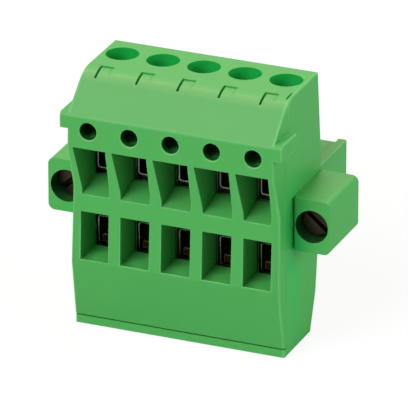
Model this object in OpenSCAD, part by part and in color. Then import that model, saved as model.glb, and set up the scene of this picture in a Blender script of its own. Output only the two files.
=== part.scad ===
// Pluggable screw terminal plug with two wire entries for each pole.
// Each pole has a screw clamp that is worked from the top and one that is worked from underneath.
// Both clamps of a pole share one contact, whose fork takes a header pin inside the nose.
// X runs along the row of poles, +Y is the plugging direction and +Z is up.
// The origin is at the middle of the part's box, on the plane that the base stands on.

/* [Row of poles] */
// Number of poles in the row
poles = 5; // [2:1:6]
// Centre distance of neighbouring poles
pitch = 5.08; // [5:0.02:6.4]
// Wall of each end that lies beyond half a pitch
end_wall_extra = 0.15; // [0:0.05:1]

/* [Housing outline] */
// Overall height
body_h = 31.3; // [30.7:0.1:34]
// Distance by which each side leans in from the middle of the height to the top, and out to the base
side_draft = 0.2; // [0:0.02:0.3]
// Height of the mating axis above the base
axis_z = 15.75; // [15.4:0.05:16.2]
// Back face, measured from the front of the ledge
back_y = 14.2; // [13.9:0.05:16]
// Distance by which the top's back edge lies in front of the back face
top_draft = 0.65; // [0:0.05:1.2]
// Height of the sloped part of the back face
top_draft_h = 8.5; // [4:0.1:10]
// Front edge of the base
base_front_y = 2.7; // [2.4:0.05:3.1]
// Back edge of the base
base_back_y = 10.75; // [10.5:0.05:12]
// Depth of the back just below the nose
waist_y = 13.75; // [13.4:0.05:13.8]
// Depth at the top of the sloped toe
toe_y = 12.45; // [12.4:0.05:12.8]
// Height of the sloped toe
toe_h = 4.4; // [3.5:0.1:6]
// Thickness of the lip under the front cover
lip_h = 1; // [0.6:0.05:1.5]

/* [Front cover] */
// Height of the ledge's lower end above the mating axis
ledge_low = 7.3; // [7:0.1:8]
// Height of the ledge's upper end above the mating axis
ledge_high = 11.4; // [11.2:0.05:12]
// Depth at which the sloped writing face meets the top
slope_top_y = 4.45; // [4.2:0.05:4.8]
// Radius of the edge between the sloped face and the top
brow_r = 4; // [3:0.1:5]
// Radius of the ledge's upper edge and of the end tabs'
ledge_r = 0.6; // [0.4:0.1:0.9]
// Depth of the upper end of the face around the lower wire entries
entry_face_y = 1.8; // [1:0.05:2.2]
// Distance by which that face's lower end stands further forward
entry_lean = 0.45; // [0:0.05:0.6]
// Height of that face's upper end above the mating axis
entry_face_high = 1.95; // [1.5:0.05:3]
// Distance of that face's lower end below the mating axis
entry_face_low = 7.45; // [7.3:0.05:8]
// Depth of the lower panel at the lip
panel_y = 2.62; // [2:0.02:2.7]
// Gap between the lower panel and the lip
panel_gap = 0.2; // [0.1:0.05:0.4]
// Depth of the joint between the cover and the rear housing, beside the entries
joint_y = 3.2; // [2.9:0.05:3.6]
// Depth of the cover's inner end, behind which the clamps sit
cover_back_y = 5.8; // [5.6:0.05:6]
// Thickness of the rear housing's sides beside the cover
socket_wall = 0.55; // [0.45:0.05:0.6]
// Thickness of the rear housing's floor under the cover's inner block
socket_floor = 1.8; // [1.4:0.1:2.4]
// Thickness of the rear housing's roof over the cover's inner block
socket_roof = 1; // [0.8:0.05:1.2]
// Play between the cover and the walls around it
cover_play = 0.05; // [0.02:0.01:0.1]
// Length by which the end tabs stand out of the sides
tab_w = 0.85; // [0.3:0.05:1.2]
// Height of the end tabs' lower face above the mating axis
tab_low = 9.7; // [9.4:0.05:10.2]

/* [Wire entries] */
// Height of the upper entries' sill above the mating axis
upper_sill = 1.07; // [0.8:0.01:1.5]
// Height of the upper entries' lintel above the mating axis
upper_lintel = 7.5; // [7:0.05:8]
// Width of the upper entries at the lintel
upper_mouth_w = 4.28; // [3.8:0.02:4.4]
// Distance of the lower entries' lintel below the mating axis
lower_lintel = 1.1; // [0.8:0.01:1.5]
// Distance of the lower entries' sill below the mating axis
lower_sill = 7; // [6.5:0.01:7.2]
// Width of the lower entries, and of the upper entries at the sill
mouth_w = 3.58; // [3:0.02:3.8]
// Distance by which the outer side of the upper end entries is drawn in
upper_end_inset = 0.26; // [0:0.02:0.4]
// Distance by which the outer side of the lower end entries is drawn in
lower_end_inset = 0.14; // [0:0.02:0.4]
// Diameter of the test sockets
test_d = 2.1; // [1.8:0.05:2.4]
// Height of the test sockets above the mating axis
test_z = 9.71; // [9.5:0.01:9.8]
// Thickness of the wall around the test sockets
test_wall = 1; // [0.8:0.05:1.4]
// Width of the pockets behind the test sockets
test_pocket_w = 3.6; // [3:0.1:4]
// Height of those pockets
test_pocket_h = 2.7; // [2.4:0.05:2.8]

/* [Cover latches] */
// Width of the latch windows in the top
latch_window_w = 1.7; // [1.2:0.05:2.2]
// Length of the latch windows behind the joint
latch_window_l = 1.4; // [1.1:0.05:1.5]
// Gap behind the latch tongues and on their left
latch_gap = 0.25; // [0.15:0.05:0.35]
// Play of the latch tongues on their right
latch_play = 0.08; // [0.05:0.01:0.15]
// Depth of the latch tongues below the top
latch_drop = 0.12; // [0.06:0.02:0.2]
// Length of the slots that free the tongues in front of the joint
latch_slot_l = 0.8; // [0.4:0.05:1]
// Width of the relief slit in the top
relief_w = 0.2; // [0.1:0.05:0.3]
// Length of the relief slit
relief_l = 1.7; // [1:0.1:2.5]
// Distance of the relief slit behind the joint
relief_setback = 0.55; // [0.4:0.05:1]

/* [Flanges] */
// Distance from the last pole to the flange screw
flange_screw_x = 5.08; // [4.9:0.02:6]
// Width of a flange outside the screw's axis
flange_out = 2.3; // [2.25:0.05:3]
// Height of a flange
flange_h = 6.5; // [5.4:0.1:6.8]
// Front face of the flanges
flange_front_y = 5.4; // [5:0.1:6]
// Radius of the flanges' long outer edges
flange_r = 0.8; // [0.3:0.1:1.5]
// Width of the groove between a flange and the side
flange_groove = 0.25; // [0.1:0.05:0.4]
// Depth of that groove
flange_groove_l = 0.5; // [0.2:0.1:0.8]
// Diameter of the recess for the flange screw's head
flange_recess_d = 4; // [3.9:0.05:4.2]
// Depth of that recess
flange_recess_l = 3.7; // [3.2:0.1:5]

/* [Nose] */
// Length of the nose behind the back face
nose_l = 8.2; // [7.8:0.1:10]
// Height of the nose
nose_h = 6.4; // [5.6:0.1:7.5]
// Distance of the nose's ends inside the sides
nose_inset = 0.05; // [0.02:0.01:0.3]
// Height of the guide ribs on the nose
rib_h = 0.5; // [0.2:0.05:0.6]
// Width of the guide ribs
rib_w = 1.05; // [0.6:0.05:1.6]
// Side of the square pin openings
pin_mouth = 2.2; // [1.6:0.1:2.4]
// Length of the pin openings
pin_mouth_l = 1; // [0.6:0.1:1.4]

/* [Screw clamps] */
// Depth of the upper screws' axes
upper_screw_y = 10.1; // [9.9:0.02:10.2]
// Depth of the lower screws' axes
lower_screw_y = 8.5; // [8.4:0.02:8.6]
// Height of the upper clamps' seat above the mating axis
upper_seat = 2.55; // [2.4:0.05:3]
// Distance of the lower clamps' seat below the mating axis
lower_seat = 3.7; // [3.5:0.05:3.8]
// Inner width of the clamp sleeves
sleeve_in_w = 3.1; // [2.9:0.05:3.2]
// Thickness of the sleeves' sides
sleeve_wall = 0.45; // [0.35:0.05:0.5]
// Thickness of the sleeves' seat
sleeve_seat_t = 0.8; // [0.6:0.05:0.9]
// Inner height of the sleeves
sleeve_in_h = 3.5; // [3.45:0.05:3.7]
// Thickness of the sleeves' threaded end
sleeve_nut_t = 1.8; // [1.4:0.05:2]
// Radius of the sleeves' bent edges
sleeve_r = 0.5; // [0.3:0.05:0.7]
// Depth of the upper sleeves
upper_sleeve_l = 5.7; // [5:0.1:5.8]
// Depth of the lower sleeves
lower_sleeve_l = 4.9; // [4.2:0.1:5]
// Distance of the sleeves behind the cover
sleeve_setback = 0.8; // [0.6:0.05:1]
// Play of the sleeves in their chambers
chamber_play = 0.2; // [0.1:0.05:0.2]

/* [Screws] */
// Diameter of the clamp screws
screw_d = 2.95; // [2.5:0.05:3]
// Radial play of the clamp screws in the sleeves
thread_play = 0.075; // [0.05:0.005:0.1]
// Diameter of the clamp screws' heads
head_d = 3.7; // [3.4:0.05:3.8]
// Height of the clamp screws' heads
head_h = 1.6; // [1.2:0.1:1.8]
// Distance from a sleeve's seat to its screw's head
head_rise = 8.55; // [8.5:0.05:8.8]
// Diameter of the driver holes in the top and the base
driver_d = 3.9; // [3.85:0.05:4.1]
// Width of the driver slots
slot_w = 0.6; // [0.4:0.05:0.8]
// Depth of the driver slots
slot_h = 0.8; // [0.5:0.1:1]
// Diameter of the flange screws' heads
flange_head_d = 3.7; // [3.3:0.05:3.75]
// Height of the flange screws' heads
flange_head_h = 1.7; // [1.4:0.1:2]
// Turn of the flange screws' slots at rest
flange_slot_turn = 40; // [0:5:90]
// Diameter of the flange screws' necks
neck_d = 1.95; // [1.6:0.05:2.2]
// Radial play of the necks
neck_play = 0.3; // [0.1:0.05:0.4]
// Diameter of the flange screws' threaded ends
thread_d = 2.5; // [2.2:0.05:2.6]
// Length of the flange screws' threaded ends
thread_l = 2; // [1.5:0.1:3]
// Gap between the back face and the threaded ends
thread_gap = 0.2; // [0.1:0.05:0.5]

/* [Contacts] */
// Width of the contact strips
strip_w = 2.6; // [2:0.1:2.7]
// Width of the forks
fork_w = 2.2; // [1.6:0.1:2.4]
// Thickness of the clamping fingers
finger_t = 0.9; // [0.7:0.05:1]
// Clear height between a sleeve's open seat and its finger
wire_gap = 2.4; // [2.3:0.05:2.45]
// Thickness of the contact's back
spine_t = 0.6; // [0.4:0.05:0.65]
// Thickness of the fork's leaves
leaf_t = 0.4; // [0.3:0.05:0.5]
// Clear gap between the leaves where they grip a pin
leaf_grip = 0.7; // [0.4:0.05:0.9]
// Largest distance of a leaf's middle from the mating axis
leaf_bow = 1.15; // [0.9:0.05:1.25]

/* [Hidden] */
$fn = 48;
// Overlap of cuts with the faces that they open
cut = 0.5;
// Overlap of the mouldings' joined blocks
seam_overlap = 0.2;
// Play of a screw's end over its finger
tip_play = 0.05;
// Distance of a finger's tip behind the front of its sleeve
finger_setback = 0.5;
// Half of the height of a contact's middle, between its two backs
web_half = 0.6;
// Share of a fork's length at which the leaves are widest apart
bow_share = 0.22;
// Share of a fork's length at which the leaves grip the pin
grip_share = 0.85;
// Number of flats in the rounded edges of the outlines
edge_steps = 6;
// Distance of a clamp screw's head beyond its chamber
head_gap = 0.15;
// Gap between a flange screw's head and the end of its recess
flange_head_gap = 0.2;
// Distance of a fork's end in front of the pin opening
leaf_setback = 0.6;
// Lead-in around the pin openings
pin_lead = 0.3;

body_half = poles * pitch / 2 + end_wall_extra;
socket_half = body_half - socket_wall;
nose_half = body_half - nose_inset;
nose_end_y = back_y + nose_l;
top_back_y = back_y - top_draft;
ledge_high_z = axis_z + ledge_high;
slope = atan2(body_h - ledge_high_z, slope_top_y);
brow_y = slope_top_y + brow_r * tan(slope / 2);
split_y = brow_y - brow_r * sin(slope / 2);
latch_back_y = split_y + latch_window_l;
latch_front_y = split_y - latch_slot_l;
latch_r = brow_r - latch_drop;
ledge_set = ledge_r * tan((90 - slope) / 2);
tab_low_z = axis_z + tab_low;
cover_low_z = lip_h + panel_gap;
socket_high_z = body_h - socket_roof;
flange_axis_x = (poles - 1) / 2 * pitch + flange_screw_x;
flange_half = flange_axis_x + flange_out;
sleeve_out_w = sleeve_in_w + 2 * sleeve_wall;
sleeve_top = sleeve_in_h + sleeve_nut_t;
chamber_w = sleeve_out_w + 2 * chamber_play;
chamber_top = head_rise - head_gap;
chamber_bottom = -sleeve_seat_t - chamber_play;
sleeve_y = cover_back_y + sleeve_setback;
upper_spine_y = sleeve_y + upper_sleeve_l + chamber_play;
lower_spine_y = sleeve_y + lower_sleeve_l + chamber_play;
leaf_end_y = nose_end_y - pin_mouth_l - leaf_setback;

housing_colour = [0.33, 0.68, 0.36];
steel_colour = [0.62, 0.62, 0.6];
copper_colour = [0.78, 0.52, 0.36];

function pole_x(i) = (i - (poles + 1) / 2) * pitch;

// Points of an arc in the outline plane
function arc(cy, cz, r, from, to) =
    [for (k = [0:edge_steps]) let (a = from + (to - from) * k / edge_steps)
        [cy + r * cos(a), cz + r * sin(a)]];

// Part of the rounded edge between the top and the sloped face, which the two mouldings share
function brow(from, to) = arc(brow_y, body_h - brow_r, brow_r, 90 + from, 90 + to);

// Line of a latch tongue's top, which lies below the rounded edge
function latch_line(back, front) =
    arc(
        brow_y, body_h - brow_r, latch_r,
        90 + asin((brow_y - back) / latch_r), 90 + asin((brow_y - front) / latch_r)
    );

// Moves from the ledge's front to the part's origin
module in_frame() {
    translate([0, -nose_end_y / 2, 0]) children();
}

// Extrudes an outline in depth and height along the row, from x0 to x1
module along_row(x0, x1) {
    translate([x0, 0, 0]) rotate([90, 0, 90]) linear_extrude(x1 - x0) children();
}

// Extrudes an outline in width and height backwards, from y0 to y1
module backwards(y0, y1) {
    translate([0, y1, 0]) rotate([90, 0, 0]) linear_extrude(y1 - y0) children();
}

// Axis-aligned block between two corners
module block(low, high) {
    translate(low) cube(high - low);
}

// Round bore or shaft along the plugging direction
module rod_y(x, z, d, y0, y1) {
    translate([x, y0, z]) rotate([-90, 0, 0]) cylinder(d = d, h = y1 - y0);
}

// Places a clamp that is drawn from its seat upwards, above or below the mating axis
module at_clamp(i, upper) {
    z = upper ? axis_z + upper_seat : axis_z - lower_seat;
    translate([pole_x(i), 0, z]) mirror([0, 0, upper ? 0 : 1]) children();
}

// Extrudes an outline over the full width, between the drafted sides
module full_width() {
    low = body_half + side_draft;
    high = body_half - side_draft;
    intersection() {
        along_row(-low, low) children();
        backwards(-cut, nose_end_y) polygon([[-low, 0], [low, 0], [high, body_h], [-high, body_h]]);
    }
}

// Outline of the rear housing, seen from the side
module rear_outline() {
    polygon([
        [base_front_y, 0],
        [base_back_y, 0],
        [toe_y, toe_h],
        [waist_y, axis_z - nose_h / 2],
        [back_y, axis_z - nose_h / 2],
        [back_y, body_h - top_draft_h],
        [top_back_y, body_h],
        each brow(0, slope / 2),
        [split_y, tab_low_z],
        [joint_y, tab_low_z],
        [joint_y, lip_h],
        [base_front_y, lip_h]
    ]);
}

// Outline of the front cover's visible part, seen from the side
module cover_outline() {
    polygon([
        [joint_y, tab_low_z],
        [split_y, tab_low_z],
        each brow(slope / 2, slope),
        each arc(ledge_r, ledge_high_z - ledge_set, ledge_r, 90 + slope, 180),
        [0, axis_z + ledge_low],
        [entry_face_y, axis_z + entry_face_high],
        [entry_face_y - entry_lean, axis_z - entry_face_low],
        [panel_y, cover_low_z],
        [joint_y, cover_low_z]
    ]);
}

// Shaft that leads a wire from the front face to a clamp
module wire_shaft(i, upper) {
    inset = upper ? upper_end_inset : lower_end_inset;
    left_in = i == 1 ? inset : 0;
    right_in = i == poles ? inset : 0;
    low = axis_z + (upper ? upper_sill : -lower_sill);
    high = axis_z + (upper ? upper_lintel : -lower_lintel);
    seat = axis_z + (upper ? upper_seat : -lower_seat);
    back_low = upper ? seat - sleeve_seat_t / 2 : seat - wire_gap - finger_t;
    low_front = upper ? entry_face_y : entry_face_y - entry_lean;
    back_high = upper ? seat + wire_gap : seat + sleeve_seat_t / 2;
    low_half = mouth_w / 2;
    high_half = upper ? upper_mouth_w / 2 : low_half;
    intersection() {
        along_row(pole_x(i) - pitch, pole_x(i) + pitch) polygon([
            [-cut, low],
            [low_front, low],
            [cover_back_y + cut, back_low],
            [cover_back_y + cut, back_high],
            [entry_face_y, high],
            [-cut, high]
        ]);
        translate([pole_x(i), 0, 0]) backwards(-cut, cover_back_y + cut) polygon([
            [left_in - low_half, low],
            [low_half - right_in, low],
            [high_half - right_in, high],
            [left_in - high_half, high]
        ]);
    }
}

// Rear housing with chambers, nose and screw flanges
module rear_housing() {
    color(housing_colour) in_frame() difference() {
        union() {
            full_width() rear_outline();
            block(
                [-nose_half, back_y - cut, axis_z - nose_h / 2],
                [nose_half, nose_end_y, axis_z + nose_h / 2]
            );
            for (side = [-1, 1]) {
                nose_rib(side);
                flange(side);
            }
        }
        cover_socket();
        relief_slit();
        for (i = [1:poles]) {
            latch_window(i);
            chamber(i, true);
            chamber(i, false);
            contact_space(i);
        }
        for (side = [-1, 1]) flange_cuts(side);
    }
}

// Guide rib on one end of the nose
module nose_rib(side) {
    x = side * (nose_half - rib_w / 2);
    z = axis_z + nose_h / 2;
    block([x - rib_w / 2, back_y - cut, z - cut], [x + rib_w / 2, nose_end_y, z + rib_h]);
}

// Screw flange with rounded outer edges
module flange(side) {
    w = flange_half - body_half;
    translate([side * body_half, 0, axis_z]) mirror([side < 0 ? 1 : 0, 0, 0])
    backwards(flange_front_y, back_y) {
        translate([-cut, -flange_h / 2]) square([cut + w - flange_r, flange_h]);
        translate([w - flange_r, flange_r - flange_h / 2]) square([flange_r, flange_h - 2 * flange_r]);
        for (end = [-1, 1]) translate([w - flange_r, end * (flange_h / 2 - flange_r)]) circle(r = flange_r);
    }
}

// Recess, neck bore and side groove of one flange
module flange_cuts(side) {
    x = side * flange_axis_x;
    recess_end = flange_front_y + flange_recess_l;
    groove_high = flange_h / 2 + cut;
    groove_x = side * (body_half + 2 * side_draft * groove_high / body_h + flange_groove / 2);
    rod_y(x, axis_z, flange_recess_d, flange_front_y - cut, recess_end);
    rod_y(x, axis_z, neck_d + 2 * neck_play, recess_end - cut, back_y + cut);
    block(
        [groove_x - flange_groove / 2, flange_front_y - cut, axis_z - groove_high],
        [groove_x + flange_groove / 2, flange_front_y + flange_groove_l, axis_z + groove_high]
    );
}

// Space in the rear housing that takes the cover's inner block
module cover_socket() {
    block([-socket_half, base_front_y - cut, socket_floor], [socket_half, cover_back_y, socket_high_z]);
}

// Window in the top that a latch tongue snaps into
module latch_window(i) {
    half = latch_window_w / 2;
    block(
        [pole_x(i) - half, split_y - cut, socket_high_z - cut],
        [pole_x(i) + half, latch_back_y, body_h + cut]
    );
}

// Thin slit in the top, beside the last pole
module relief_slit() {
    x = socket_half - relief_w;
    y = split_y + relief_setback;
    block([x, y, body_h - socket_roof / 2], [x + relief_w, y + relief_l, body_h + cut]);
}

// Chamber of one clamp with its driver hole
module chamber(i, upper) {
    y = upper ? upper_screw_y : lower_screw_y;
    back = upper ? upper_spine_y + spine_t : lower_spine_y;
    depth = upper ? body_h - axis_z - upper_seat : axis_z - lower_seat;
    at_clamp(i, upper) {
        block([-chamber_w / 2, cover_back_y - cut, chamber_bottom], [chamber_w / 2, back, chamber_top]);
        translate([0, y, chamber_top - cut]) cylinder(d = driver_d, h = depth - chamber_top + 2 * cut);
    }
}

// Slot for a contact's back and the hollow of the nose around its fork
module contact_space(i) {
    half = strip_w / 2 + chamber_play / 2;
    hollow = leaf_bow + leaf_t / 2 + chamber_play;
    finger_low = axis_z - lower_seat - wire_gap - finger_t;
    mouth = pin_mouth / 2;
    translate([pole_x(i), 0, 0]) {
        block([-half, lower_spine_y - cut, finger_low], [half, lower_spine_y + spine_t, axis_z + web_half]);
        block(
            [-half, lower_spine_y, axis_z - web_half],
            [half, upper_spine_y + spine_t, axis_z + upper_seat]
        );
        block([-half, upper_spine_y, axis_z - hollow], [half, nose_end_y - pin_mouth_l, axis_z + hollow]);
        block(
            [-mouth, nose_end_y - pin_mouth_l - cut, axis_z - mouth],
            [mouth, nose_end_y + cut, axis_z + mouth]
        );
        pin_lead_in(mouth);
    }
}

// Sloped lead-in around a pin opening
module pin_lead_in(mouth) {
    wide = mouth + pin_lead;
    funnel = [[nose_end_y - pin_lead, mouth], [nose_end_y + cut, wide + cut], [nose_end_y + cut, -wide - cut],
              [nose_end_y - pin_lead, -mouth]];
    intersection() {
        translate([0, 0, axis_z]) along_row(-wide - cut, wide + cut) polygon(funnel);
        translate([0, 0, axis_z - wide - cut]) linear_extrude(2 * (wide + cut))
            polygon([for (p = funnel) [p[1], p[0]]]);
    }
}

// Front cover with ledge, end tabs, wire shafts and test sockets
module front_cover() {
    color(housing_colour) in_frame() difference() {
        union() {
            full_width() cover_outline();
            cover_block();
            for (side = [-1, 1]) end_tab(side);
            for (i = [1:poles]) latch_tongue(i);
        }
        for (i = [1:poles]) {
            wire_shaft(i, true);
            wire_shaft(i, false);
            test_socket(i);
            latch_slots(i);
        }
    }
}

// Test socket with the wider pocket behind it
module test_socket(i) {
    z = axis_z + test_z;
    rod_y(pole_x(i), z, test_d, -cut, test_wall + cut);
    block(
        [pole_x(i) - test_pocket_w / 2, test_wall, z - test_pocket_h / 2],
        [pole_x(i) + test_pocket_w / 2, cover_back_y + cut, z + test_pocket_h / 2]
    );
}

// Block of the cover that sits inside the rear housing
module cover_block() {
    half = socket_half - cover_play;
    low = socket_floor + cover_play;
    high = socket_high_z - cover_play;
    along_row(-half, half) polygon([
        [joint_y - seam_overlap, low],
        [cover_back_y, low],
        [cover_back_y, high],
        [split_y - seam_overlap, high],
        [split_y - seam_overlap, tab_low_z + seam_overlap],
        [joint_y - seam_overlap, tab_low_z + seam_overlap]
    ]);
}

// Tab on one end of the ledge
module end_tab(side) {
    arc_z = ledge_high_z - ledge_set;
    x0 = side > 0 ? body_half - cut : -body_half - tab_w;
    along_row(x0, x0 + tab_w + cut) polygon(concat(
        [[0, tab_low_z], [split_y, tab_low_z], [split_y, arc_z + ledge_r]],
        arc(ledge_r, arc_z, ledge_r, 90, 180)
    ));
}

// Tongue of the cover that snaps into a window of the top
module latch_tongue(i) {
    half = latch_window_w / 2;
    low = socket_high_z - cover_play - seam_overlap;
    back = latch_back_y - latch_gap;
    along_row(pole_x(i) - half + latch_gap, pole_x(i) + half - latch_play) polygon(concat(
        [[split_y - seam_overlap, low], [back, low]],
        latch_line(back, split_y - seam_overlap)
    ));
}

// Slot that frees a tongue on its left in front of the joint, and the step that lowers it
module latch_slots(i) {
    half = latch_window_w / 2;
    left = pole_x(i) - half;
    block([left, latch_front_y, socket_high_z - cut], [left + latch_gap, split_y + cut, body_h + cut]);
    along_row(left, pole_x(i) + half) polygon(concat(
        [[latch_front_y, body_h + cut], [split_y + cut, body_h + cut]],
        latch_line(split_y + cut, latch_front_y)
    ));
}

// Contact of one pole: a strip with two fingers, and a fork in the nose
module contact(i) {
    color(copper_colour) in_frame() translate([pole_x(i), 0, 0]) {
        along_row(-strip_w / 2, strip_w / 2) strip_outline();
        along_row(-fork_w / 2, fork_w / 2) fork_outline();
    }
}

// Strip of a contact, seen from the side, from the upper finger's tip to the lower finger's
module strip_outline() {
    upper_finger = axis_z + upper_seat + wire_gap;
    lower_finger = axis_z - lower_seat - wire_gap;
    tip = sleeve_y + finger_setback;
    polygon([
        [tip, upper_finger],
        [upper_spine_y, upper_finger],
        [upper_spine_y, axis_z + web_half],
        [lower_spine_y, axis_z + web_half],
        [lower_spine_y, lower_finger],
        [tip, lower_finger],
        [tip, lower_finger - finger_t],
        [lower_spine_y + spine_t, lower_finger - finger_t],
        [lower_spine_y + spine_t, axis_z - web_half],
        [upper_spine_y + spine_t, axis_z - web_half],
        [upper_spine_y + spine_t, upper_finger + finger_t],
        [tip, upper_finger + finger_t]
    ]);
}

// Fork of a contact, seen from the side: its leaves bow out, grip the pin and flare at their ends
module fork_outline() {
    root_y = upper_spine_y + spine_t / 2;
    reach = leaf_end_y - root_y;
    leaf = [
        [root_y, web_half / 2],
        [root_y + bow_share * reach, leaf_bow],
        [root_y + grip_share * reach, (leaf_grip + leaf_t) / 2],
        [leaf_end_y, leaf_bow - leaf_t]
    ];
    back = [for (k = [len(leaf) - 1:-1:0]) leaf[k]];
    polygon([
        for (p = leaf) [p[0], axis_z + p[1] + leaf_t / 2],
        for (p = back) [p[0], axis_z + p[1] - leaf_t / 2],
        for (p = leaf) [p[0], axis_z - p[1] + leaf_t / 2],
        for (p = back) [p[0], axis_z - p[1] - leaf_t / 2]
    ]);
}

// Clamp sleeve, bent from strip, with a threaded end for the screw
module sleeve(i, upper) {
    sleeve_l = upper ? upper_sleeve_l : lower_sleeve_l;
    screw_y = upper ? upper_screw_y : lower_screw_y;
    color(steel_colour) in_frame() at_clamp(i, upper) difference() {
        backwards(sleeve_y, sleeve_y + sleeve_l) difference() {
            rounded_box(sleeve_out_w, -sleeve_seat_t, sleeve_top, sleeve_r);
            rounded_box(sleeve_in_w, 0, sleeve_in_h, sleeve_r / 2);
        }
        translate([0, screw_y, sleeve_in_h - cut])
            cylinder(d = screw_d + 2 * thread_play, h = sleeve_nut_t + 2 * cut);
    }
}

// Rectangle with round corners, centred on the pole and spanning two heights
module rounded_box(w, low, high, r) {
    translate([-w / 2, low + r]) square([w, high - low - 2 * r]);
    translate([r - w / 2, low]) square([w - 2 * r, high - low]);
    for (sx = [-1, 1]) for (z = [low + r, high - r]) translate([sx * (w / 2 - r), z]) circle(r = r);
}

// Slotted clamp screw, drawn from its end on the finger upwards
module clamp_screw(i, upper) {
    y = upper ? upper_screw_y : lower_screw_y;
    tip = wire_gap + finger_t + tip_play;
    color(steel_colour) in_frame() at_clamp(i, upper) translate([0, y, 0]) difference() {
        union() {
            translate([0, 0, tip]) cylinder(d = screw_d, h = head_rise - tip + head_h / 2);
            translate([0, 0, head_rise]) cylinder(d = head_d, h = head_h);
        }
        block(
            [-slot_w / 2, -head_d, head_rise + head_h - slot_h],
            [slot_w / 2, head_d, head_rise + head_h + cut]
        );
    }
}

// Captive screw of one flange, with a slotted head, a neck and a threaded end
module flange_screw(side) {
    x = side * flange_axis_x;
    head_y = flange_front_y + flange_recess_l - flange_head_gap - flange_head_h;
    thread_y = back_y + thread_gap;
    color(steel_colour) in_frame() difference() {
        union() {
            rod_y(x, axis_z, flange_head_d, head_y, head_y + flange_head_h);
            rod_y(x, axis_z, neck_d, head_y + flange_head_h / 2, thread_y + thread_l / 2);
            rod_y(x, axis_z, thread_d, thread_y, thread_y + thread_l);
        }
        translate([x, head_y, axis_z]) rotate([0, side * flange_slot_turn, 0])
            block([-flange_head_d, -cut, -slot_w / 2], [flange_head_d, slot_h, slot_w / 2]);
    }
}

rear_housing();
front_cover();
for (i = [1:poles]) {
    contact(i);
    sleeve(i, true);
    sleeve(i, false);
    clamp_screw(i, true);
    clamp_screw(i, false);
}
flange_screw(-1);  // left_flange_screw
flange_screw(1);  // right_flange_screw
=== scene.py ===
"""Looks of a green pluggable screw terminal plug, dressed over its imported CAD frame."""
import logging
import math
from dataclasses import dataclass
from enum import Enum
from functools import cached_property
from typing import Any

import bmesh
import bpy
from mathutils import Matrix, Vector


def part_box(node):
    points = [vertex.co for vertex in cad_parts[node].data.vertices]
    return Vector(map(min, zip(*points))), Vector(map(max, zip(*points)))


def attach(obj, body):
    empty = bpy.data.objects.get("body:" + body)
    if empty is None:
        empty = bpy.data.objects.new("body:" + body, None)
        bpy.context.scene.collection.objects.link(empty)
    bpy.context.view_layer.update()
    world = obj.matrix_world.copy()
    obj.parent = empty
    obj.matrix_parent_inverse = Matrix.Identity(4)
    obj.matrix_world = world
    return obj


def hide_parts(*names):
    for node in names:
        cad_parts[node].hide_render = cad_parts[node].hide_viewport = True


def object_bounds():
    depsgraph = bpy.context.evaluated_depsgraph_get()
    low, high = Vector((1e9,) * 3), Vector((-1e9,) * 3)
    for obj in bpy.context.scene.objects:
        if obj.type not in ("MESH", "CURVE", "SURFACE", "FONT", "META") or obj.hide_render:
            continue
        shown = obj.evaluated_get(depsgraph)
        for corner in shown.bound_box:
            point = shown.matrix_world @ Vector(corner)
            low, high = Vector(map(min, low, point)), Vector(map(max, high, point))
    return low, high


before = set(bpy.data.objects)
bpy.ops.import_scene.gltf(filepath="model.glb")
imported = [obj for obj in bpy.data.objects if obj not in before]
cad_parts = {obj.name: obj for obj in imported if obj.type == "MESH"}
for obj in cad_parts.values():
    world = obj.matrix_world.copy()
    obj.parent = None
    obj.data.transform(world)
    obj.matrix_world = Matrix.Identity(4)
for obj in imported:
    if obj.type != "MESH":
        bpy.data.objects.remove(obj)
CAD_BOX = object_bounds()

MM = 0.001
POLES = range(1, 6)
MIDDLE_POLE = 3
WHITE = (1.0, 1.0, 1.0, 1.0)
LOG = logging.getLogger("plug")

# Places in the frame, in millimetres
PITCH = 5.08
FLANGE_X = 3 * PITCH
MATING_Z = 15.75

Colour = tuple[float, float, float]
Triple = tuple[float, float, float]
Pair = tuple[float, float]


class Named(Enum):
    """Choice whose name starts the names of nodes."""

    @property
    def word(self) -> str:
        """Word that the node names start with."""
        return self.name.lower()


class Row(Named):
    """Row of clamps, with the sign of the way from its seat to its screw's head."""

    UPPER = 1
    LOWER = -1

    @property
    def axis(self) -> Vector:
        """Direction from a screw's end to its head."""
        return Vector((0.0, 0.0, float(self.value)))


class End(Named):
    """End of the row of poles, with the sign of its side."""

    LEFT = -1
    RIGHT = 1


class Along(Enum):
    """Axis that an edge or a bore runs along, by its place in a vector."""

    X = 0
    Y = 1
    Z = 2


class Skin(Enum):
    """Place of a finish among a piece's materials."""

    BODY = 0
    # Rounded edges: painted lighter as a highlight on plastic; on metal, cut edges with a painted glint
    EDGE = 1
    # Walls of test sockets and flange bores, painted dark as shade
    SHADED_BORE = 2
    # Walls of the driver holes, painted a deeper green as shade
    DRIVER_HOLE_SHADE = 3


class MixPort(Enum):
    """Place of a socket on a Mix node that mixes colours."""

    SHARE = 0
    FIRST = 6
    SECOND = 7
    RESULT = 2


def pole_x(pole: int) -> float:
    """Place of a pole along the row, in millimetres."""
    return PITCH * (pole - MIDDLE_POLE)


def direction(azimuth_deg: float, elevation_deg: float) -> Vector:
    """Unit vector from the part, with azimuth 0 in front of it.

    Args:
        azimuth_deg: Angle to the right of the front.
        elevation_deg: Angle above the floor.

    Returns:
        The vector.
    """
    azimuth = math.radians(azimuth_deg)
    elevation = math.radians(elevation_deg)
    level = math.cos(elevation)
    return Vector((math.sin(azimuth) * level, -math.cos(azimuth) * level, math.sin(elevation)))


def add_object(name: str, data: bpy.types.ID) -> bpy.types.Object:
    """Adds an object to the scene.

    Args:
        name: Name of the object.
        data: Its mesh, lamp or camera.

    Returns:
        The object.
    """
    obj = bpy.data.objects.new(name, data)
    bpy.context.collection.objects.link(obj)
    return obj


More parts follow.
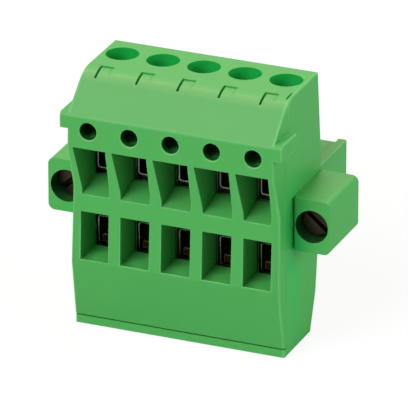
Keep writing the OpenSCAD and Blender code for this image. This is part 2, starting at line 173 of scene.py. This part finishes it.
class Sock:
    """Output socket of a node that takes part in Python expressions."""

    def __init__(self, board: "NodeBoard", socket: bpy.types.NodeSocket) -> None:
        """Keeps the socket with the board that its node is on."""
        self.board = board
        self.socket = socket

    def _math(self, operation: str, first: Any, second: Any) -> "Sock":
        """Adds one Math node.

        Args:
            operation: Name of the operation.
            first: Left value or socket.
            second: Right value or socket.

        Returns:
            The node's result.
        """
        return self.board.node("ShaderNodeMath", {"operation": operation}, {0: first, 1: second})["Value"]

    def __add__(self, other: Any) -> "Sock":
        """Sum."""
        return self._math("ADD", self, other)

    def __radd__(self, other: Any) -> "Sock":
        """Sum with a plain number on the left."""
        return self._math("ADD", other, self)

    def __sub__(self, other: Any) -> "Sock":
        """Difference."""
        return self._math("SUBTRACT", self, other)

    def __rsub__(self, other: Any) -> "Sock":
        """Difference with a plain number on the left."""
        return self._math("SUBTRACT", other, self)

    def __mul__(self, other: Any) -> "Sock":
        """Product."""
        return self._math("MULTIPLY", self, other)

    def __rmul__(self, other: Any) -> "Sock":
        """Product with a plain number on the left."""
        return self._math("MULTIPLY", other, self)

    def most(self, other: Any) -> "Sock":
        """The larger of this and another value."""
        return self._math("MAXIMUM", self, other)

    def swing(self, width: float) -> "Sock":
        """Swing about zero, of a given width, that follows this value from 0 to 1."""
        return width * (self - 0.5)


class Made:
    """Node that was placed on a board; its outputs are read by name or number."""

    def __init__(self, board: "NodeBoard", node: bpy.types.Node) -> None:
        """Keeps the node with its board."""
        self.board = board
        self.node = node

    def __getitem__(self, port: str | int) -> Sock:
        """Output socket of that name or number."""
        return Sock(self.board, self.node.outputs[port])


class NodeBoard:
    """Node tree of one material or of the world, emptied for new nodes."""

    def __init__(self, owner: bpy.types.Material | bpy.types.World) -> None:
        """Turns the owner's nodes on and empties its tree.

        Args:
            owner: The material or the world.
        """
        owner.use_nodes = True
        self.tree = owner.node_tree
        self.tree.nodes.clear()

    def node(self, kind: str, settings: dict[str, Any] | None = None,
             sockets: dict[Any, Any] | None = None) -> Made:
        """Places one node.

        Args:
            kind: Type of the node.
            settings: Properties of the node, set before its sockets.
            sockets: Values or links of its inputs, by name or number.

        Returns:
            The node, for reading its outputs.
        """
        made = self.tree.nodes.new(kind)
        for name, value in (settings or {}).items():
            setattr(made, name, value)
        for name, value in (sockets or {}).items():
            if isinstance(value, Sock):
                self.tree.links.new(value.socket, made.inputs[name])
            else:
                made.inputs[name].default_value = value
        return Made(self, made)

    def vector(self, operation: str, first: Sock, second: Triple) -> Made:
        """Places one Vector Math node.

        Args:
            operation: Name of the operation.
            first: Left vector.
            second: Right vector.

        Returns:
            The node.
        """
        return self.node("ShaderNodeVectorMath", {"operation": operation}, {0: first, 1: second})

    def object_place(self, scale: Triple = (1.0, 1.0, 1.0)) -> Sock:
        """Coordinates on the piece, in millimetres times a scale for each axis."""
        place = self.node("ShaderNodeTexCoord")["Object"]
        return self.vector("MULTIPLY", place, tuple(part / MM for part in scale))["Vector"]

    def noise(self, place: Sock, scale: float, detail: float) -> Sock:
        """Cloudy value from 0 to 1.

        Args:
            place: Coordinates in millimetres.
            scale: Clouds per millimetre.
            detail: Number of finer layers.

        Returns:
            The value.
        """
        sockets = {"Vector": place, "Scale": scale, "Detail": detail}
        return self.node("ShaderNodeTexNoise", None, sockets)["Fac"]

    def mix(self, kind: str, share: Sock, first: Any, second: Any) -> Sock:
        """Mixes two colours.

        Args:
            kind: Name of the way to mix.
            share: 0 gives the first colour and 1 the mixed one.
            first: Colour with alpha, or a socket.
            second: Colour with alpha, or a socket.

        Returns:
            The colour.
        """
        settings = {"data_type": "RGBA", "blend_type": kind}
        sockets = {MixPort.SHARE.value: share, MixPort.FIRST.value: first, MixPort.SECOND.value: second}
        return self.node("ShaderNodeMix", settings, sockets)[MixPort.RESULT.value]

    def blend(self, share: Sock, first: Colour, second: Colour) -> Sock:
        """Colour between two colours.

        Args:
            share: 0 gives the first colour and 1 the second.
            first: Linear colour.
            second: Linear colour.

        Returns:
            The colour.
        """
        return self.mix("MIX", share, (*first, 1.0), (*second, 1.0))

    def tint(self, share: Sock, colour: Sock, factor: Colour) -> Sock:
        """Colour times a factor.

        Args:
            share: 0 leaves the colour and 1 tints it in full.
            colour: Colour to tint.
            factor: Factor of each channel.

        Returns:
            The colour.
        """
        return self.mix("MULTIPLY", share, colour, (*factor, 1.0))

    def facing(self, way: Triple, sharpness: float) -> Sock:
        """Share from 0 to 1 that is full on faces that look one way.

        Args:
            way: Unit vector.
            sharpness: How fast the share falls as a face turns away.

        Returns:
            The share.
        """
        normal = self.node("ShaderNodeTexCoord")["Normal"]
        along = self.vector("DOT_PRODUCT", normal, way)["Value"]
        return (1.0 - sharpness * (1.0 - along)).most(0.0)

    def near(self, at: Triple, reach: Triple) -> Sock:
        """Share that is 1 at a place and falls to 0; sizes in millimetres.

        Args:
            at: The place.
            reach: Distance along each axis where the share is 0.

        Returns:
            The share.
        """
        scale = tuple(1.0 / part for part in reach)
        centre = tuple(part * share for part, share in zip(at, scale))
        gap = self.vector("DISTANCE", self.object_place(scale), centre)["Value"]
        return (1.0 - gap).most(0.0)

    def bump(self, height: Sock, depth: float) -> Sock:
        """Normal that follows a height.

        Args:
            height: Height from 0 to 1.
            depth: Real depth in metres.

        Returns:
            The normal.
        """
        made = self.node("ShaderNodeBump", None, {"Height": height, "Distance": depth, "Strength": 1.0})
        return made["Normal"]

    def surface(self, shader: Sock) -> None:
        """Makes a shader the material's surface."""
        self.node("ShaderNodeOutputMaterial", None, {"Surface": shader})


@dataclass(frozen=True)
class Spot:
    """Place on the mouldings, in millimetres, with a tint of painted highlight or shade that fades around it.
    """

    at: Triple
    reach: Triple
    tint: Colour


# Painted highlight along the rounded edge between the top and the sloped face, at the joint, over the whole
# row
BROW_HIGHLIGHT = Spot(at=(0.0, -6.75, 30.9), reach=(math.inf, 1.35, 1.35), tint=(2.1, 1.2, 1.7))
# Painted shade in the corners between the sides and the flanges: a deeper green with the red taken out, and
# green a little lighter
NOOK_SHADES = tuple(
    Spot(at=(12.9 * end.value, -5.6, 11.0), reach=(3.0, 3.6, 12.0), tint=(0.1, 1.15, 1.05)) for end in End
)


@dataclass(frozen=True)
class MouldedPlastic:
    """Self-coloured plastic from a fine spark-eroded mould, with a painted sheen on the sloped face and
    painted highlight and shade around given places.
    """

    name: str = "moulded_green"
    colour: Colour = (0.053, 0.347, 0.069)
    flow_colour: Colour = (0.059, 0.367, 0.075)
    roughness: float = 0.5
    flow_per_mm: float = 0.09
    flow_detail: float = 3.0
    flow_roughness: float = 0.06
    grain_per_mm: float = 9.0
    grain_detail: float = 2.0
    grain_roughness: float = 0.1
    grain_depth: float = 0.006 * MM
    ior: float = 1.36
    # Paler tint on faces that look the way of the sloped face: a painted sheen
    slope_sheen_way: Triple = (0.0, -0.68, 0.733)
    slope_sheen_sharpness: float = 6.0
    slope_sheen_tint: Colour = (1.42, 0.94, 1.15)
    painted_light_spots: tuple[Spot, ...] = (BROW_HIGHLIGHT, *NOOK_SHADES)

    def material(self) -> bpy.types.Material:
        """Builds the finish.

        Returns:
            The material.
        """
        material = bpy.data.materials.new(self.name)
        board = NodeBoard(material)
        place = board.object_place()
        flow = board.noise(place, self.flow_per_mm, self.flow_detail)
        grain = board.noise(place, self.grain_per_mm, self.grain_detail)
        shade = board.blend(flow, self.colour, self.flow_colour)
        # Painted sheen on the sloped face
        shade = board.tint(board.facing(self.slope_sheen_way, self.slope_sheen_sharpness), shade, self.slope_sheen_tint)
        # Painted highlight and shade around given places
        for spot in self.painted_light_spots:
            shade = board.tint(board.near(spot.at, spot.reach), shade, spot.tint)
        shader = board.node("ShaderNodeBsdfPrincipled", None, {
            "Base Color": shade,
            "Roughness": (self.roughness + grain.swing(self.grain_roughness)
                          + flow.swing(self.flow_roughness)),
            "Normal": board.bump(grain, self.grain_depth),
            "IOR": self.ior,
        })
        board.surface(shader["BSDF"])
        return material


@dataclass(frozen=True)
class Metal:
    """Bare or plated metal with fine streaks along one axis."""

    name: str
    colour: Colour
    dull_colour: Colour
    roughness: float
    metallic: float = 1.0
    streak_scale: Triple = (9.0, 0.9, 9.0)
    streak_detail: float = 3.0
    streak_roughness: float = 0.12
    streak_depth: float = 0.002 * MM
    cloud_per_mm: float = 0.8
    cloud_detail: float = 2.0
    cloud_roughness: float = 0.1

    def material(self) -> bpy.types.Material:
        """Builds the finish.

        Returns:
            The material.
        """
        material = bpy.data.materials.new(self.name)
        board = NodeBoard(material)
        streak = board.noise(board.object_place(self.streak_scale), 1.0, self.streak_detail)
        cloud = board.noise(board.object_place(), self.cloud_per_mm, self.cloud_detail)
        shader = board.node("ShaderNodeBsdfPrincipled", None, {
            "Base Color": board.blend(cloud, self.dull_colour, self.colour),
            "Metallic": self.metallic,
            "Roughness": (self.roughness + streak.swing(self.streak_roughness)
                          + cloud.swing(self.cloud_roughness)),
            "Normal": board.bump(streak, self.streak_depth),
        })
        board.surface(shader["BSDF"])
        return material


class Palette:
    """The plug's finishes, each built once."""

    def __init__(self) -> None:
        """Builds every material."""
        self.plastic = MouldedPlastic().material()
        # Lighter green on the rounded edges: a painted highlight where the edges catch the light
        self.edge_highlight_green = MouldedPlastic("edge_highlight_green", (0.085, 0.43, 0.1), (0.095, 0.45, 0.11)).material()
        # Nearly black green: painted shade on the walls of the test sockets and flange bores
        self.bore_shade_green = MouldedPlastic("bore_shade_green", (0.006, 0.06, 0.012), (0.008, 0.07, 0.014)).material()
        # Green with the red taken out: painted shade colour on the walls of the driver holes
        self.deep_bore_shade_green = MouldedPlastic("deep_bore_shade_green", (0.004, 0.34, 0.045), (0.006, 0.36, 0.05)).material()
        # Sleeve steel kept dark: painted shade, so the sleeves look shaded inside the wire entries
        self.clamp_steel = Metal("clamp_steel", (0.3, 0.29, 0.28), (0.2, 0.19, 0.185), 0.22).material()
        # Bright, mostly matt steel on the sleeves' rounded edges: real cut edges, painted brighter as broken
        # glints
        self.cut_edge_glint_steel = Metal("cut_edge_glint_steel", (1.0, 0.98, 0.95), (0.8, 0.78, 0.75), 0.3,
                               metallic=0.2).material()
        turned = (3.0, 3.0, 14.0)
        self.screw_steel = Metal("screw_steel", (0.34, 0.31, 0.28), (0.22, 0.2, 0.18), 0.3,
                                 streak_scale=turned).material()
        # The same screw steel darkened as painted shade, for the flange screws deep in their bores
        self.shaded_screw_steel = Metal("shaded_screw_steel", (0.075, 0.058, 0.036), (0.025, 0.022, 0.018), 0.34,
                                 streak_scale=turned).material()
        # Copper darkened well below its own colour: painted shade, as the contacts sit deep inside the
        # entries
        self.copper = Metal("contact_copper", (0.26, 0.095, 0.058), (0.14, 0.05, 0.03), 0.3).material()
        # Bright copper on the contacts' rounded edges: cut edges with painted glints
        self.cut_edge_glint_copper = Metal("cut_edge_glint_copper", (1.0, 0.62, 0.42), (0.7, 0.36, 0.22), 0.3,
                                metallic=0.3).material()

    @property
    def greens(self) -> tuple[bpy.types.Material, ...]:
        """The moulding's plastic, its painted edge highlight and its painted bore shades, in the order of
        Skin.
        """
        return self.plastic, self.edge_highlight_green, self.bore_shade_green, self.deep_bore_shade_green


@dataclass(frozen=True)
class Zone:
    """Part of a piece, in millimetres, with the radius of the edges in it."""

    radius: float
    x: Pair = (0.0, 20.0)
    y: Pair = (-20.0, 20.0)
    z: Pair = (-1.0, 40.0)
    along: Along | None = None

    def holds(self, start: Vector, end: Vector) -> bool:
        """Tells whether an edge belongs to the zone.

        Args:
            start: One end of the edge.
            end: The other end.

        Returns:
            True where the middle lies in the zone, on either side, and the edge runs along the zone's axis.
        """
        middle = (start + end) / 2
        places = (abs(middle.x) / MM, middle.y / MM, middle.z / MM)
        run = [abs(part) for part in end - start]
        right_way = self.along is None or run[self.along.value] == max(run)
        spans = (self.x, self.y, self.z)
        return right_way and all(low <= at <= high for at, (low, high) in zip(places, spans))


@dataclass(frozen=True)
class Bore:
    """Round bore whose wall has a painted shade colour of its own; sizes in millimetres."""

    skin: Skin
    along: Along
    axis: Pair
    radius: float
    reach: Pair
    wall_shares: Pair = (0.6, 1.01)

    def holds(self, face: bmesh.types.BMFace) -> bool:
        """Tells whether a face belongs to the bore.

        Args:
            face: Face of the piece.

        Returns:
            True where the face's middle lies at the wall.
        """
        middle = face.calc_center_median() / MM
        across = [middle[way.value] for way in Along if way is not self.along]
        in_reach = self.reach[0] <= middle[self.along.value] <= self.reach[1]
        inner, outer = (share * self.radius for share in self.wall_shares)
        return in_reach and inner <= math.dist(across, self.axis) <= outer


@dataclass
class RoundedNode:
    """Piece that stands for one CAD node: the same solid, with the small radii that the real one has."""

    node: str
    piece: str
    body: str
    slot: str
    zones: tuple[Zone, ...] = (Zone(0.05),)
    segments: int = 2
    sharp_deg: float = 25.0
    flat_deg: float = 2.0
    facet_width: float = 0.4 * MM
    bores: tuple[Bore, ...] = ()
    weld_gap: float = 0.001 * MM
    plane_deg: float = 0.5

    def solid(self) -> bmesh.types.BMesh:
        """Copies the node's solid.

        Returns:
            A welded copy, with each flat face in as few faces as it needs.
        """
        copy = bmesh.new()
        copy.from_mesh(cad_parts[self.node].data)
        bmesh.ops.remove_doubles(copy, verts=copy.verts, dist=self.weld_gap)
        limit = math.radians(self.plane_deg)
        bmesh.ops.dissolve_limit(copy, angle_limit=limit, verts=copy.verts, edges=copy.edges)
        return copy

    def edge_radius(self, edge: bmesh.types.BMEdge) -> float:
        """Radius of one edge, by the first zone that holds it.

        Args:
            edge: Edge of the copy.

        Returns:
            The radius in metres, where 0 leaves the edge as it is.
        """
        if edge.calc_face_angle_signed() < math.radians(self.sharp_deg):
            return 0.0
        start, end = (vert.co for vert in edge.verts)
        return next((zone.radius * MM for zone in self.zones if zone.holds(start, end)), 0.0)

    def is_crease(self, edge: bmesh.types.BMEdge) -> bool:
        """Tells whether an edge that is not rounded shows.

        Args:
            edge: Edge of the copy.

        Returns:
            True where it parts two faces, rather than two facets of a curve.
        """
        angle = abs(edge.calc_face_angle_signed())
        if angle > math.radians(self.sharp_deg):
            return True
        widths = [
            face.calc_area() / max(side.calc_length() for side in face.edges) for face in edge.link_faces
        ]
        return angle > math.radians(self.flat_deg) and min(widths) > self.facet_width

    def mesh(self, materials: tuple[bpy.types.Material, ...]) -> tuple[bpy.types.Mesh, float]:
        """Marks the copy's edges for rounding, and its bores for their painted shade.

        Args:
            materials: Finishes of the piece.

        Returns:
            The mesh, and the widest of its radii.
        """
        copy = self.solid()
        weight = copy.edges.layers.float.new("bevel_weight_edge")
        radii = {edge: self.edge_radius(edge) for edge in copy.edges}
        widest = max(radii.values())
        for edge, radius in radii.items():
            edge[weight] = radius / widest
            edge.smooth = radius > 0.0 or not self.is_crease(edge)
        for face in copy.faces:
            face.smooth = True
            skins = (bore.skin for bore in self.bores if bore.holds(face))
            face.material_index = next(skins, Skin.BODY).value
        mesh = bpy.data.meshes.new(self.piece)
        copy.to_mesh(mesh)
        copy.free()
        for material in materials:
            mesh.materials.append(material)
        return mesh, widest

    def build(self, *materials: bpy.types.Material) -> bpy.types.Object:
        """Builds the piece and puts it on its body.

        Args:
            materials: The finishes in the order of Skin, as far as they differ.

        Returns:
            The piece.
        """
        mesh, widest = self.mesh(materials)
        obj = add_object(self.piece, mesh)
        bevel = obj.modifiers.new("radii", "BEVEL")
        bevel.limit_method = "WEIGHT"
        bevel.width = widest
        bevel.segments = self.segments
        bevel.use_clamp_overlap = False
        # Faces of the rounding take the second material, the painted edge highlight or glint, where the piece
        # has one
        bevel.material = min(Skin.EDGE.value, len(materials) - 1)
        obj.modifiers.new("flat_faces", "WEIGHTED_NORMAL").keep_sharp = True
        self.freeze(obj)
        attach(obj, self.body)
        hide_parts(self.node)
        LOG.info("%s: %d faces", self.piece, len(obj.data.polygons))
        return obj

    @staticmethod
    def freeze(obj: bpy.types.Object) -> None:
        """Turns a piece's modifiers into mesh.

        Args:
            obj: The piece.
        """
        graph = bpy.context.evaluated_depsgraph_get()
        made = bpy.data.meshes.new_from_object(obj.evaluated_get(graph), depsgraph=graph)
        obj.modifiers.clear()
        old = obj.data
        obj.data = made
        bpy.data.meshes.remove(old)
        made.name = obj.name


@dataclass
class FrontCover(RoundedNode):
    """Front moulding with the ledge, the wire entries and the test sockets."""

    segments: int = 3
    zones: tuple[Zone, ...] = (
        # Inner ends of the tabs, in the ledge's rounded edge, stay sharp
        Zone(0.0, x=(12.3, 12.75), y=(-11.25, -10.99), z=(26.8, 27.4)),
        # Ends of the sloped face
        Zone(0.25, x=(12.5, 12.9), y=(-11.1, -6.75), z=(27.2, 31.1)),
        # Latch tongues, and the joint in the top
        Zone(0.02, z=(29.8, 40.0)),
        # Tabs
        Zone(0.2, x=(12.9, 20.0), z=(25.3, 27.6)),
        # Joint in the sides, above the tabs
        Zone(0.14, x=(12.5, 12.9), y=(-6.7, -6.6), along=Along.Z),
        # Joint in the sides, below the tabs, and the ends of the inner block
        Zone(0.1, x=(12.2, 20.0), y=(-8.05, 20.0)),
        # Bottom over the lip stays sharp
        Zone(0.0, y=(-8.6, -7.9), z=(0.0, 2.0)),
        # Rest of the inner block stays sharp
        Zone(0.0, y=(-8.05, 20.0)),
        # Inner rims of the test sockets stay sharp
        Zone(0.0, y=(-10.3, -10.1), z=(24.0, 27.0)),
        # Ends of the front faces
        Zone(0.22, x=(12.6, 20.0), along=Along.Z),
        # Mouths of the test sockets
        Zone(0.14, z=(24.0, 27.0)),
        # Rims of the wire entries
        Zone(0.09),
    )
    # Walls of the test sockets, painted dark as shade
    bores: tuple[Bore, ...] = tuple(
        Bore(Skin.SHADED_BORE, Along.Y, axis=(pole_x(pole), 25.46), radius=1.05, reach=(-11.2, -10.1))
        for pole in POLES
    )


@dataclass
class RearHousing(RoundedNode):
    """Rear moulding with the flanges, the driver holes and the nose."""

    segments: int = 3
    zones: tuple[Zone, ...] = (
        # Ends of the top
        Zone(0.25, x=(12.5, 12.8), y=(-6.6, 2.3), z=(30.9, 31.4)),
        # Latch windows, and the joint in the top
        Zone(0.02, y=(-20.0, -4.9), z=(29.8, 40.0)),
        # Back edge of the top, the driver holes and the relief slit
        Zone(0.08, z=(31.1, 40.0)),
        # Front corners of the lip
        Zone(0.25, x=(12.9, 20.0), y=(-8.6, -8.4), z=(0.0, 1.0), along=Along.Z),
        # Base with its driver holes
        Zone(0.08, z=(-1.0, 0.05)),
        # Edges around the nose's end, but for the ribs
        Zone(0.06, x=(0.0, 12.0), y=(11.0, 20.0)),
        # Small steps between the flanges and the nose stay sharp
        Zone(0.0, x=(12.3, 13.2), y=(2.4, 3.2), z=(12.0, 19.5)),
        # Back edges of the sides, between the flanges and the sloped part, stay sharp
        Zone(0.0, x=(12.7, 12.9), y=(2.9, 3.1), z=(19.0, 22.0)),
        # Back edges of the sides, beside the sloped part
        Zone(0.05, x=(12.6, 12.8), y=(2.3, 3.1), z=(22.9, 31.2)),
        # Backs of the flanges, the nose's ends and ribs, and the pin openings
        Zone(0.12, y=(2.5, 20.0)),
        # Fronts of the flanges with their grooves stay sharp
        Zone(0.0, x=(12.85, 20.0), y=(-6.0, -5.0)),
        # Neck bores, the sides' lower back edges and the end chambers
        Zone(0.12, x=(12.2, 20.0), y=(-6.1, 20.0)),
        # Joint in the sides, above the tabs
        Zone(0.14, x=(12.5, 12.9), y=(-6.7, -6.6), along=Along.Z),
        # Joint in the sides, below the tabs, and the socket for the cover
        Zone(0.1, x=(12.2, 20.0), z=(1.1, 40.0)),
    )
    # Flange bores painted dark, and driver holes a deeper green without red, as painted shade
    bores: tuple[Bore, ...] = (
        *(Bore(Skin.SHADED_BORE, Along.Y, axis=(FLANGE_X * end.value, MATING_Z), radius=2.0, reach=(-5.8, -2.0))
          for end in End),
        *(Bore(Skin.DRIVER_HOLE_SHADE, Along.Z, axis=(pole_x(pole), -1.1), radius=1.95, reach=(24.0, 31.4))
          for pole in POLES),
    )


@dataclass
class ClampSleeve(RoundedNode):
    """Steel sleeve of a clamp; the foot of the window in a lower one stays sharp."""

    zones: tuple[Zone, ...] = (Zone(0.0, z=(8.4, 8.82)), Zone(0.09))


@dataclass(frozen=True)
class Thread:
    """Screw thread that runs from a screw's end towards its head."""

    length: float
    crest_r: float
    pitch: float
    depth_share: float = 0.61
    flank_gain: float = 1.25
    around: int = 28
    per_turn: int = 8
    runout_turns: float = 0.8

    def radius(self, along: float, angle: float) -> float:
        """Radius of the thread's surface.

        Args:
            along: Distance from the screw's end.
            angle: Angle around the axis.

        Returns:
            The radius, which fades to the root at both ends.
        """
        turn = (along / self.pitch - angle / math.tau) % 1.0
        tooth = min(1.0, self.flank_gain * (1.0 - abs(2.0 * turn - 1.0)))
        ends = min(along, self.length - along) / (self.runout_turns * self.pitch)
        return self.crest_r - self.pitch * self.depth_share * (1.0 - tooth * min(1.0, ends))

    def add_to(self, mesh: bmesh.types.BMesh, tip: Vector, axis: Vector) -> None:
        """Adds the thread's closed surface to a mesh.

        Args:
            mesh: The mesh.
            tip: Middle of the screw's end.
            axis: Direction from the end to the head.
        """
        side = axis.orthogonal().normalized()
        over = axis.cross(side)
        rows = round(self.length / self.pitch * self.per_turn)
        rings = []
        for row in range(rows + 1):
            along = self.length * row / rows
            ring = []
            for step in range(self.around):
                angle = math.tau * step / self.around
                out = side * math.cos(angle) + over * math.sin(angle)
                ring.append(mesh.verts.new(tip + axis * along + out * self.radius(along, angle)))
            rings.append(ring)
        for near, far in zip(rings, rings[1:]):
            for a in range(self.around):
                b = (a + 1) % self.around
                mesh.faces.new((near[a], near[b], far[b], far[a]))
        mesh.faces.new(reversed(rings[0]))
        mesh.faces.new(rings[-1])


@dataclass
class SlottedScrew(RoundedNode):
    """Screw with a slotted head, whose plain shank in the frame is a thread here."""

    axis: Vector = Vector((0.0, 0.0, 1.0))
    thread: Thread = Thread(length=5.2 * MM, crest_r=1.475 * MM, pitch=0.5 * MM)
    overlap: float = 0.05 * MM

    @cached_property
    def tip(self) -> Vector:
        """Works out where the screw ends.

        Returns:
            Middle of the end that is opposite the head.
        """
        low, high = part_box(self.node)
        middle = (Vector(low) + Vector(high)) / 2
        half = (Vector(high) - Vector(low)) / 2
        return middle - self.axis * abs(half.dot(self.axis))

    def from_tip(self, edge: bmesh.types.BMEdge) -> float:
        """Distance of an edge's middle from the tip, along the axis."""
        middle = (edge.verts[0].co + edge.verts[1].co) / 2
        return (middle - self.tip).dot(self.axis)

    def solid(self) -> bmesh.types.BMesh:
        """Copies the node's solid and threads it.

        Returns:
            The head as it is in the frame, with the thread.
        """
        copy = super().solid()
        tip = self.tip
        every = [*copy.verts, *copy.edges, *copy.faces]
        plane = tip + self.axis * (self.thread.length - self.overlap)
        cut = bmesh.ops.bisect_plane(copy, geom=every, plane_co=plane, plane_no=self.axis, clear_inner=True)
        rim = [part for part in cut["geom_cut"] if isinstance(part, bmesh.types.BMEdge)]
        bmesh.ops.edgeloop_fill(copy, edges=rim)
        self.thread.add_to(copy, tip, self.axis)
        bmesh.ops.recalc_face_normals(copy, faces=copy.faces)
        return copy

    def edge_radius(self, edge: bmesh.types.BMEdge) -> float:
        """Radius of one edge; the thread keeps its own edges.

        Args:
            edge: Edge of the copy.

        Returns:
            The radius in metres, which is 0 outside the head.
        """
        if self.from_tip(edge) < self.thread.length + self.overlap:
            return 0.0
        return super().edge_radius(edge)

    def is_crease(self, edge: bmesh.types.BMEdge) -> bool:
        """Tells whether an edge that is not rounded shows; the thread's flanks stay smooth.

        Args:
            edge: Edge of the copy.

        Returns:
            True where it parts two faces of the head or of an end.
        """
        if self.overlap < self.from_tip(edge) < self.thread.length - self.overlap:
            return False
        return super().is_crease(edge)


@dataclass
class FlangeScrew(SlottedScrew):
    """Captive screw of a flange, with its head at the front."""

    zones: tuple[Zone, ...] = (Zone(0.1),)
    axis: Vector = Vector((0.0, -1.0, 0.0))
    thread: Thread = Thread(length=2.0 * MM, crest_r=1.25 * MM, pitch=0.45 * MM)


@dataclass
class PhotoCamera:
    """Camera at the photograph's viewing angle, far away with a long lens."""

    azimuth_deg: float = 22.8
    elevation_deg: float = 23.87
    distance: float = 793.4 * MM
    lens: float = 610.5
    target: Vector = Vector((0.0, -6.2 * MM, 15.0 * MM))
    aim_right: float = 1.96 * MM
    aim_up: float = 1.09 * MM
    clip: Pair = (0.01, 10.0)

    def place(self) -> bpy.types.Object:
        """Makes the camera and looks through it.

        Returns:
            The camera.
        """
        azimuth = math.radians(self.azimuth_deg)
        view = -direction(self.azimuth_deg, self.elevation_deg)
        right = Vector((math.cos(azimuth), math.sin(azimuth), 0.0))
        up = right.cross(view)
        eye = self.target - view * self.distance
        aim = self.target + right * self.aim_right + up * self.aim_up
        data = bpy.data.cameras.new("photo_camera")
        data.lens = self.lens
        data.clip_start, data.clip_end = self.clip
        camera = add_object("photo_camera", data)
        camera.location = eye
        camera.rotation_euler = (aim - eye).to_track_quat("-Z", "Y").to_euler()
        bpy.context.scene.camera = camera
        return camera


@dataclass(frozen=True)
class Lamp:
    """Soft square lamp that shines at the part from one direction."""

    name: str
    azimuth_deg: float
    elevation_deg: float
    level: float
    colour: Colour = (1.0, 1.0, 1.0)
    size: float = 0.6
    distance: float = 1.0

    def place(self) -> None:
        """Makes the lamp; at level 1 a white face turned to it would render white."""
        way = direction(self.azimuth_deg, self.elevation_deg)
        data = bpy.data.lights.new(self.name, "AREA")
        data.size = self.size
        data.energy = self.level * math.pi * math.pi * self.distance ** 2
        data.color = self.colour
        lamp = add_object(self.name, data)
        middle = (Vector(CAD_BOX[0]) + Vector(CAD_BOX[1])) / 2
        lamp.location = middle + way * self.distance
        lamp.rotation_euler = (-way).to_track_quat("-Z", "Y").to_euler()


@dataclass
class Studio:
    """Pale floor, soft lamps and a white surround."""

    floor_half: float = 3.0
    floor_drop: float = 0.02 * MM
    floor_grey: float = 0.65
    floor_white: float = 1.06
    # Shares of the grey that the camera and mirrored rays see; the rest is white
    shadow: float = 0.15
    mirrored_shadow: float = 0.95
    ambient: float = 0.06
    lamps: tuple[Lamp, ...] = (
        Lamp("key", -20.0, 35.0, 0.82, (1.0, 0.93, 1.0)),
        Lamp("key_high", -20.0, 60.0, 0.36, (1.0, 0.86, 0.9)),
        Lamp("right", 97.0, 20.0, 0.64, (0.76, 1.0, 0.92)),
        Lamp("back_left", -150.0, 47.0, 0.26, (1.0, 0.84, 0.4)),
        Lamp("back", 180.0, 30.0, 0.22, (1.0, 0.98, 0.7)),
        Lamp("left", -60.0, 35.0, 0.1),
    )

    def build(self) -> None:
        """Makes the floor, the world and the lamps."""
        self.floor()
        self.world()
        for lamp in self.lamps:
            lamp.place()

    def floor(self) -> None:
        """Makes the floor, which is white to the camera but for the part's shadow."""
        half = self.floor_half
        corners = [(-half, -half, 0.0), (half, -half, 0.0), (half, half, 0.0), (-half, half, 0.0)]
        mesh = bpy.data.meshes.new("floor")
        mesh.from_pydata(corners, [], [(0, 1, 2, 3)])
        floor = add_object("floor", mesh)
        floor.location.z = -self.floor_drop
        mesh.materials.append(self.floor_material())

    def floor_material(self) -> bpy.types.Material:
        """Builds the floor's finish.

        Returns:
            A matt grey under plain white, through which the part's shadow shows.
        """
        material = bpy.data.materials.new("white_floor")
        board = NodeBoard(material)
        rays = board.node("ShaderNodeLightPath")
        mirrored = rays["Is Glossy Ray"].most(rays["Is Transmission Ray"])
        grey = (self.floor_grey, self.floor_grey, self.floor_grey, 1.0)
        matt = board.node("ShaderNodeBsdfDiffuse", None, {"Color": grey})
        white = board.node("ShaderNodeEmission", None, {"Color": WHITE, "Strength": self.floor_white})
        share = ((1.0 - self.shadow) * rays["Is Camera Ray"]).most((1.0 - self.mirrored_shadow) * mirrored)
        both = board.node("ShaderNodeMixShader", None, {0: share, 1: matt["BSDF"], 2: white["Emission"]})
        board.surface(both["Shader"])
        return material

    def world(self) -> None:
        """Surrounds the scene with white that lights the part at a plain level."""
        world = bpy.data.worlds.new("surround")
        bpy.context.scene.world = world
        board = NodeBoard(world)
        rays = board.node("ShaderNodeLightPath")
        seen = rays["Is Camera Ray"].most(rays["Is Glossy Ray"]).most(rays["Is Transmission Ray"])
        strength = self.ambient + (1.0 - self.ambient) * seen
        white = board.node("ShaderNodeBackground", None, {"Color": WHITE, "Strength": strength})
        board.node("ShaderNodeOutputWorld", None, {"Surface": white["Background"]})


@dataclass
class Plug:
    """The whole plug: two mouldings, the clamps of every pole and the flange screws."""

    palette: Palette

    def build(self) -> None:
        """Builds every piece."""
        greens = self.palette.greens
        FrontCover("front_cover", "front_shell", "housing", "housing_green").build(*greens)
        RearHousing("rear_housing", "rear_shell", "housing", "housing_green").build(*greens)
        for pole in POLES:
            strip = RoundedNode(f"contact_{pole}", f"copper_strip_{pole}", "housing", "contact_copper")
            strip.build(self.palette.copper, self.palette.cut_edge_glint_copper)
            for row in Row:
                self.clamp(row, pole)
        for end in End:
            self.flange_screw(end)

    def clamp(self, row: Row, pole: int) -> None:
        """Builds the sleeve and the screw of one clamp.

        Args:
            row: Row of the clamp.
            pole: Number of its pole.
        """
        sleeve = f"{row.word}_sleeve_{pole}"
        screw = f"{row.word}_screw_{pole}"
        clamp = ClampSleeve(sleeve, f"{row.word}_clamp_{pole}", sleeve, "clamp_steel")
        clamp.build(self.palette.clamp_steel, self.palette.cut_edge_glint_steel)
        bolt = SlottedScrew(screw, f"{row.word}_bolt_{pole}", screw, "screw_steel", axis=row.axis)
        bolt.build(self.palette.screw_steel)

    def flange_screw(self, end: End) -> None:
        """Builds the captive screw of one flange.

        Args:
            end: End of the row that the flange is on.
        """
        screw = f"{end.word}_flange_screw"
        bolt = FlangeScrew(screw, f"{end.word}_flange_bolt", screw, "screw_steel")
        bolt.build(self.palette.shaded_screw_steel)


def main() -> None:
    """Builds the plug, the studio and the camera."""
    logging.basicConfig(level=logging.INFO, format="%(message)s")
    bpy.context.scene.view_settings.view_transform = "Standard"
    Plug(Palette()).build()
    PhotoCamera().place()
    Studio().build()


if __name__ == "__main__":
    main()
